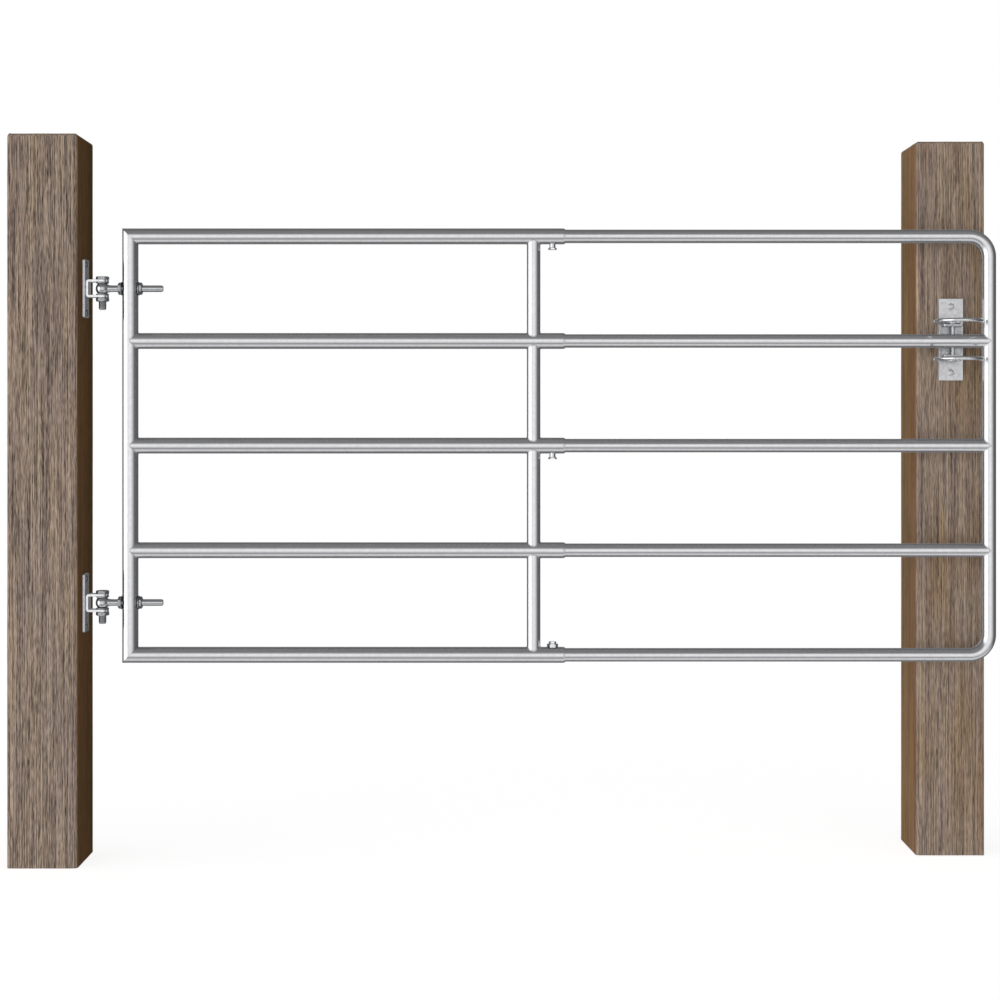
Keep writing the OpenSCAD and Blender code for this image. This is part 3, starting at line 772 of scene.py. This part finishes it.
# %% Dome-headed screws
HEAD_R, RIM, CAP_RISE = 7, 0.7, 1.7
SHANK_R, SCREW_TIP = 3.9, -64
BALL_OF_CAP = (HEAD_R ** 2 + CAP_RISE ** 2) / (2 * CAP_RISE)
HEAD_TOP = RIM + CAP_RISE
DOME = [(BALL_OF_CAP * math.sin(math.radians(a)), HEAD_TOP - BALL_OF_CAP * (1 - math.cos(math.radians(a))))
        for a in (27, 22, 17, 11, 5)]
SCREW = [(0, SCREW_TIP), (1.6, SCREW_TIP + 6), (SHANK_R, SCREW_TIP + 14), (SHANK_R, 0), (HEAD_R, 0),
         *DOME, (0, HEAD_TOP)]
SCREW_INSET = 10
SEAT_GAP = 0.1
plate_low, plate_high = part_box("upper_hinge_plate")
screw_gap = (plate_high.z - plate_low.z) / 2 - SCREW_INSET * MM
screw_seat = Vector((plate_high.x + SEAT_GAP * MM, pivot.y, pivot.z + screw_gap))
first_screw = turned("hinge_screw_1", SCREW, screw_seat, (1, 0, 0), 32)
screws = [first_screw,
          copy_of(first_screw, "hinge_screw_2", (0, 0, -2 * screw_gap)),
          copy_of(first_screw, "hinge_screw_3", lower_hinge),
          copy_of(first_screw, "hinge_screw_4", lower_hinge - Vector((0, 0, 2 * screw_gap)))]
for screw in screws:
    hand_in(screw, zinc_fastener, "zinc_fastener", "root", "hinge_plate_screws")

# %% [markdown]
# ## The pivot
# A heavy hexagon bolt drops through the yoke, two thick washers and the eye, and a nut holds it
# from below with a finger's breadth of thread to spare. Head and shank are one forging, so they
# are united into one closed mesh.

# %% Pivot bolts, nuts and washers
yoke_half = half_size("upper_hinge_yoke").z / MM
eye_half = half_size("upper_eye_bolt").z / MM
SEAT = yoke_half + SEAT_GAP
NUT_HEIGHT = 8
PIVOT_R, THREAD_ROOT, NUT_BORE = 7.95, 6.4, 8.0
THREAD_FROM = -16
UP = Vector((0, 0, 1))
bolt_low, bolt_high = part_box("upper_pivot_bolt")
bolt_flats = (bolt_high.y - bolt_low.y) / MM
tail = (bolt_low.z - pivot.z) / MM
head_height = (bolt_high.z - pivot.z) / MM - SEAT
bolt = hexagonal("upper_hinge_bolt", bolt_flats, head_outline(bolt_flats, head_height),
                 pivot + UP * SEAT * MM, UP, (1, 0, 0))
# The shank starts 2 mm up inside the head, so that the two have room to unite
shank_outline = [(0, SEAT + 2), (PIVOT_R, SEAT + 2), (PIVOT_R, THREAD_FROM + 2),
                 *thread(PIVOT_R, THREAD_FROM, tail + 2), (THREAD_ROOT, tail), (0, tail)]
bolt = combine(bolt, turned("shank", shank_outline, pivot, UP), "UNION")
pick_up(bolt)
bpy.ops.object.shade_smooth_by_angle(angle=math.radians(25))
nut = hexagonal("upper_hinge_nut", bolt_flats, nut_outline(bolt_flats, NUT_BORE, NUT_HEIGHT),
                pivot - UP * (SEAT + NUT_HEIGHT) * MM, UP, (1, 0, 0))
WASHER_GAP = 0.3
washer_t = yoke_half - PLATE_MM - eye_half - 2 * WASHER_GAP
PIVOT_WASHER = ring_outline(8.2, half_size("pivot_washers").x / MM, 0, washer_t, 0.3, 0.5)
top_washer = turned("upper_hinge_washer_top", PIVOT_WASHER, pivot + UP * (eye_half + WASHER_GAP) * MM, UP)
low_washer = copy_of(top_washer, "upper_hinge_washer_bottom",
                     -UP * (2 * (eye_half + WASHER_GAP) + washer_t) * MM)
for piece, node_name in ((bolt, "upper_pivot_bolt"), (nut, "pivot_nuts"),
                         (top_washer, "pivot_washers"), (low_washer, "pivot_washers")):
    twin = copy_of(piece, piece.name.replace("upper", "lower"), lower_hinge)
    hand_in(piece, zinc_fastener, "zinc_fastener", "root", node_name)
    hand_in(twin, zinc_fastener, "zinc_fastener", "root", node_name.replace("upper", "lower"))

# %% [markdown]
# ## The eye bolts
# Each eye is forged: a short barrel round the pivot that swells in the middle and flows into the
# shank. The shank goes through the gate's stile, threaded all the way, so the gate can be set
# nearer to or further from the post with the two nuts.

# %% Eye bolts
ACROSS = Vector((1, 0, 0))
eye_low, eye_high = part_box("upper_eye_bolt")
eye_r = (pivot.x - eye_low.x) / MM
shank_end = (eye_high.x - pivot.x) / MM
EYE_BORE = 8.06
# The barrel's side is an arc of a ball slightly larger than the eye
BALL_R = eye_r + 0.5
EYE_SHANK_R, SHANK_TIP_R = 7.0, 5.8
ball = [(math.sqrt(BALL_R ** 2 - (z * eye_half) ** 2) - 0.5, z * eye_half)
        for z in (-1, -0.85, -0.65, -0.42, -0.2, 0, 0.2, 0.42, 0.65, 0.85, 1)]
EYE = [(EYE_BORE, 0.5 - eye_half), (EYE_BORE + 0.5, -eye_half), *ball,
       (EYE_BORE + 0.5, eye_half), (EYE_BORE, eye_half - 0.5), (EYE_BORE, 0.5 - eye_half)]
eye_bolt = turned("upper_eye_bolt_forging", EYE, pivot, UP, 64)
# The neck starts inside the eye's wall and narrows to the shank
neck = [(0, 9.6), (8.2, 9.6), (7.9, 12), (7.4, 14), (EYE_SHANK_R, 17), (EYE_SHANK_R, 20)]
eye_shank = [*neck, *thread(EYE_SHANK_R, 22, shank_end - 1.5, 2.0, 0.25),
             (SHANK_TIP_R, shank_end), (0, shank_end)]
eye_bolt = combine(eye_bolt, turned("eye_shank", eye_shank, pivot, ACROSS, 40), "UNION")
pick_up(eye_bolt)
bpy.ops.object.shade_smooth_by_angle(angle=math.radians(38))
lower_eye_bolt = copy_of(eye_bolt, "lower_eye_bolt_forging", lower_hinge)
hand_in(eye_bolt, forged_eye, "zinc_fastener", "gate_frame", "upper_eye_bolt")
hand_in(lower_eye_bolt, forged_eye, "zinc_fastener", "gate_frame", "lower_eye_bolt")

# %% Nuts and washers on the eye bolts
EYE_NUT_FLATS = 22
tube_r = half_size("outer_rail_2").z / MM
stile_axis = Vector((stile.x, pivot.y, pivot.z))
washers_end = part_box("eye_bolt_washers")[1].x
eye_washer_t = (washers_end - stile.x) / MM - tube_r - SEAT_GAP
eye_nut_t = (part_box("eye_bolt_nuts")[1].x - washers_end) / MM - SEAT_GAP
EYE_WASHER = ring_outline(7.2, 14, 0, eye_washer_t, 0.2, 0.4)
for side, word in ((-1, "near_post"), (1, "near_gate")):
    away = ACROSS * side
    washer_seat = stile_axis + away * (tube_r + SEAT_GAP) * MM
    nut_seat = stile_axis + away * (tube_r + 2 * SEAT_GAP + eye_washer_t) * MM
    eye_washer = turned(f"upper_eye_washer_{word}", EYE_WASHER, washer_seat, away)
    eye_nut = hexagonal(f"upper_eye_nut_{word}", EYE_NUT_FLATS,
                        nut_outline(EYE_NUT_FLATS, EYE_SHANK_R, eye_nut_t), nut_seat, away, UP)
    for piece, node_name in ((eye_washer, "eye_bolt_washers"), (eye_nut, "eye_bolt_nuts")):
        twin = copy_of(piece, piece.name.replace("upper", "lower"), lower_hinge)
        hand_in(piece, zinc_fastener, "zinc_fastener", "gate_frame", node_name)
        hand_in(twin, zinc_fastener, "zinc_fastener", "gate_frame", node_name)

# %% [markdown]
# ## The clamps
# Small screws lock the thin tubes inside the thick ones. Two of them press from below through a
# plain boss that flares towards the screw's head; the bottom rail's presses from above through a
# welded hexagon nut. The foot of each reaches down to the crown of the round tube or past it, so
# the tube hides what is inside it. The heads are low and rounded, with six flats on their sides.

# %% Clamp bosses and screws
# The outlines give the radius and the distance from the rail's axis, both in millimetres
DOWN = -UP
CLAMP_BORE, PRESS_R = 4.05, 3.95
BOSS_FOOT, NUT_FOOT, BOSS_TOP = 15.6, 16, 23.5
PRESS_TIP = 14.35
HEAD_FLATS, SMALL_HEAD_FLATS, WELD_NUT_FLATS = 16, 13.5, 20
BOSS = [(CLAMP_BORE, BOSS_FOOT), (6.0, BOSS_FOOT), (6.1, 18), (6.3, 21), (6.5, 22.6), (6.5, 23.3),
        (6.2, BOSS_TOP), (CLAMP_BORE, BOSS_TOP), (CLAMP_BORE, BOSS_FOOT)]
WELD_NUT = [(CLAMP_BORE, NUT_FOOT), (12, NUT_FOOT), (12, 22.2), (9.7, BOSS_TOP), (4.9, BOSS_TOP),
            (CLAMP_BORE, 22.7), (CLAMP_BORE, NUT_FOOT)]
ROUND_HEAD = [(0, 23.6), (7.0, 23.6), (8.2, 24.2), (9.1, 25.4), (9.3, 26.6), (8.9, 27.4),
              (7.6, 27.9), (0, 27.9)]
PRESS_SHANK = [(0, 24.5), (PRESS_R, 24.5), (PRESS_R, 15), (3.2, PRESS_TIP), (0, PRESS_TIP)]


def clamp_screw(name, flats, axis_point, axis):
    head = hexagonal(name, flats, ROUND_HEAD, axis_point, axis, (1, 0, 0))
    combine(head, turned("press_shank", PRESS_SHANK, axis_point, axis, 32), "UNION")
    pick_up(head)
    bpy.ops.object.shade_smooth_by_angle(angle=math.radians(30))
    return head


clamp_x = middle("clamp_nuts").x
top_rail = Vector((clamp_x, pivot.y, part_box("outer_rail_1")[1].z - tube_r * MM))
bottom_rail = Vector((clamp_x, pivot.y, middle("outer_rail_5").z))
drop = middle("inner_rail_3").z - top_rail.z
boss_1 = turned("clamp_boss_top_rail", BOSS, top_rail, DOWN)
boss_3 = copy_of(boss_1, "clamp_boss_middle_rail", (0, 0, drop))
screw_1 = clamp_screw("clamp_screw_top_rail", HEAD_FLATS, top_rail, DOWN)
screw_3 = copy_of(screw_1, "clamp_screw_middle_rail", (0, 0, drop))
boss_5 = hexagonal("clamp_nut_bottom_rail", WELD_NUT_FLATS, WELD_NUT, bottom_rail, UP, (1, 0, 0))
screw_5 = clamp_screw("clamp_screw_bottom_rail", SMALL_HEAD_FLATS, bottom_rail, UP)
for piece in (boss_1, boss_3, boss_5):
    hand_in(piece, bright_bar, "zinc_fastener", "gate_frame", "clamp_nuts")
for piece in (screw_1, screw_3, screw_5):
    hand_in(piece, bright_bar, "zinc_fastener", "gate_frame", "clamp_screws")

# %% [markdown]
# ## The latch
# A plate on the other post carries a second folded yoke, and an upright pin through it carries
# two rings of round bar, open where the gate's stile comes in. A ring starts as a circle the
# size of the bar and is spun part of a turn about the ring's middle. Its two ends are drawn in by
# small extrusions, so that they come out rounded, as a bar end does after grinding. A short hub
# on the pin is then united with it.

# %% Latch plate, yoke and bolts
latch_plate = flat_plate("latch_backplate", "latch_plate", across=1, corner_mm=1.2)
hand_in(latch_plate, zinc_plate, "zinc_plate", "root", "latch_plate")
latch_fork = folded_yoke("latch_fork", *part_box("latch_yoke"), forward=1, end_mm=5)
hand_in(latch_fork, bracket_zinc, "zinc_plate", "root", "latch_yoke")
# The frame's own bolts have domes 4 mm high, so their seat is that far behind the box's front
FRAME_DOME = 4
bolts_low, bolts_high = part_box("latch_plate_bolts")
bolt_seat = Vector((middle("latch_plate_bolts").x, bolts_low.y + FRAME_DOME * MM,
                    bolts_high.z - HEAD_R * MM))
bolt_step = bolts_low.z + HEAD_R * MM - bolt_seat.z
upper_bolt = turned("latch_bolt_top", SCREW, bolt_seat, (0, -1, 0), 32)
lower_bolt = copy_of(upper_bolt, "latch_bolt_bottom", (0, 0, bolt_step))
for piece in (upper_bolt, lower_bolt):
    hand_in(piece, zinc_plate, "zinc_fastener", "root", "latch_plate_bolts")

# %% Latch pin
PIN_R, PIN_CHAMFER = 4, 0.6
pin_half = half_size("latch_pin").z / MM
PIN = [(0, -pin_half), (PIN_R - PIN_CHAMFER, -pin_half), (PIN_R, PIN_CHAMFER - pin_half),
       (PIN_R, pin_half - PIN_CHAMFER), (PIN_R - PIN_CHAMFER, pin_half), (0, pin_half)]
latch_pin = turned("latch_claw_pin", PIN, pin, UP, 40)
hand_in(latch_pin, bracket_zinc, "bright_bar", "latch_claw", "latch_pin")

# %% Bend the claws
# The mouth runs from one angle to the other in degrees, counted from +X towards +Y
MOUTH_FROM, MOUTH_TO = 9, 70
# Each extrusion that rounds an end: how far it goes, in millimetres, and how it scales
ROUND_END = ((1.2, 0.95), (1.0, 0.84), (0.8, 0.6))
HUB_R = 7.5


def bent_claw(name, node_name):
    """A ring with a mouth, of round bar as thick as the node is high, with its hub on the pin."""
    low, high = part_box(node_name)
    bar = (high.z - low.z) / 2
    ring_r = (high.x - low.x) / 2 - bar
    centre = Vector(((low.x + high.x) / 2, low.y + ring_r + bar, (low.z + high.z) / 2))
    ease = sum(push for push, _ in ROUND_END) * MM / ring_r
    start = math.radians(MOUTH_TO) + ease
    sweep = math.tau - math.radians(MOUTH_TO - MOUTH_FROM) - 2 * ease
    spoke = Vector((math.cos(start), math.sin(start), 0))
    bpy.ops.object.select_all(action="DESELECT")
    bpy.ops.mesh.primitive_circle_add(vertices=24, radius=bar, location=centre + spoke * ring_r,
                                      rotation=(math.radians(90), 0, start))
    piece = name_new(name)
    choose(piece, "VERT", lambda v: True)
    bpy.ops.mesh.spin(steps=96, angle=-sweep, center=centre, axis=(0, 0, 1))
    for turn, way in ((start, -1), (start + sweep, 1)):
        spoke = Vector((math.cos(turn), math.sin(turn), 0))
        heading = Vector((-math.sin(turn), math.cos(turn), 0)) * way
        end = centre + spoke * ring_r
        choose(piece, "VERT", lambda v: at((v.co - end).dot(heading), 0)
               and (v.co - end).length < bar * 1.01)
        for push, size in ROUND_END:
            bpy.ops.mesh.extrude_region_move(TRANSFORM_OT_translate={"value": heading * push * MM})
            end = end + heading * push * MM
            bpy.ops.transform.resize(value=(size, size, size), center_override=end)
        bpy.ops.mesh.edge_face_add()
    bpy.ops.mesh.select_all(action="SELECT")
    bpy.ops.mesh.normals_make_consistent(inside=False)
    leave_edit()
    hub = ring_outline(PIN_R, HUB_R, -bar / MM, bar / MM, 0.5, 0.6)
    combine(piece, turned("claw_hub", hub, Vector((pin.x, pin.y, centre.z)), UP, 40), "UNION")
    pick_up(piece)
    bpy.ops.object.shade_smooth_by_angle(angle=math.radians(38))
    return piece


upper_claw = bent_claw("upper_latch_claw", "upper_claw")
lower_claw = copy_of(upper_claw, "lower_latch_claw",
                     (0, 0, middle("lower_claw").z - middle("upper_claw").z))
hand_in(upper_claw, bright_bar, "bright_bar", "latch_claw", "upper_claw")
hand_in(lower_claw, bright_bar, "bright_bar", "latch_claw", "lower_claw")

# %% [markdown]
# ## The welds
# Where one tube is coped onto another a small bead of weld fills the line between them, under the
# zinc. Each bead starts as a circle of wire the size of the branch tube. Its vertices are moved
# onto the other tube's wall, which is the line the cope follows, and the wire is then given a
# round section and a slight ripple.

# %% Make a weld bead
TUBE, THIN = tube_r, half_size("inner_rail_2").z / MM
BEAD_MM = 1.1
RIPPLE_SIZE = 3 * MM
RIPPLE_MM = 0.5


def weld_bead(name, branch_mm, wall_mm, joint, branch):
    """A bead where a tube that leaves joint in direction branch meets the wall of the other tube."""
    branch = Vector(branch)
    bpy.ops.object.select_all(action="DESELECT")
    turn = branch.to_track_quat("Z", "Y").to_euler()
    bpy.ops.mesh.primitive_circle_add(vertices=72, radius=branch_mm * MM, rotation=turn)
    bpy.ops.object.transform_apply(location=False, rotation=True, scale=True)
    wire = bpy.context.object
    for vertex in wire.data.vertices:
        reach = math.sqrt(max(0, (wall_mm * MM) ** 2 - vertex.co.y ** 2))
        vertex.co += branch * reach
    wire.location = joint
    piece = name_new(name)
    bpy.ops.object.convert(target="CURVE")
    bead = bpy.context.object
    bead.data.bevel_depth = BEAD_MM * MM
    bead.data.bevel_resolution = 2
    bpy.ops.object.convert(target="MESH")
    piece = name_new(name)
    choose(piece, "VERT", lambda v: True)
    bpy.ops.mesh.remove_doubles(threshold=NEAR)
    bpy.ops.mesh.normals_make_consistent(inside=False)
    leave_edit()
    texture = bpy.data.textures.new("weld_ripple", "CLOUDS")
    texture.noise_scale = RIPPLE_SIZE
    modify(piece, "DISPLACE", texture=texture, strength=RIPPLE_MM * MM, mid_level=0.5)
    pick_up(piece)
    bpy.ops.object.shade_smooth()
    return piece


print("beads", 2 * BEAD_MM, "mm thick on tubes", round(2 * TUBE), "and", round(2 * THIN), "mm across")

# %% Lay the beads
rail_z = {number: middle(f"outer_rail_{number}").z for number in (2, 3, 4)}
rail_z[1], rail_z[5] = top_rail.z, bottom_rail.z
latch_stile_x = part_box("extension_loop")[1].x - THIN * MM


def along_rail(x, rail):
    return Vector((x, pivot.y, rail_z[rail]))


def on_rails(bead, home, names, rails):
    """Copies of a bead, moved from its own rail, home, to the others."""
    return [copy_of(bead, names.format(rail), (0, 0, rail_z[rail] - rail_z[home])) for rail in rails]


beside = weld_bead("hinge_stile_weld_2", TUBE, TUBE, along_rail(stile.x, 2), (1, 0, 0))
gate_beads = [beside, *on_rails(beside, 2, "hinge_stile_weld_{}", (3, 4))]
mid_x = middle("middle_stile").x
below = weld_bead("middle_stile_weld_1_below", THIN, TUBE, along_rail(mid_x, 1), (0, 0, -1))
above = weld_bead("middle_stile_weld_5_above", THIN, TUBE, along_rail(mid_x, 5), (0, 0, 1))
gate_beads += [below, above, *on_rails(below, 1, "middle_stile_weld_{}_below", (2, 3, 4)),
               *on_rails(above, 5, "middle_stile_weld_{}_above", (2, 3, 4))]
beside = weld_bead("latch_stile_weld_2", THIN, THIN, along_rail(latch_stile_x, 2), (-1, 0, 0))
loop_beads = [beside, *on_rails(beside, 2, "latch_stile_weld_{}", (3, 4))]
for bead in gate_beads:
    hand_in(bead, galvanised_tube, "galvanised_tube", "gate_frame")
for bead in loop_beads:
    hand_in(bead, galvanised_tube, "galvanised_tube", "extension")
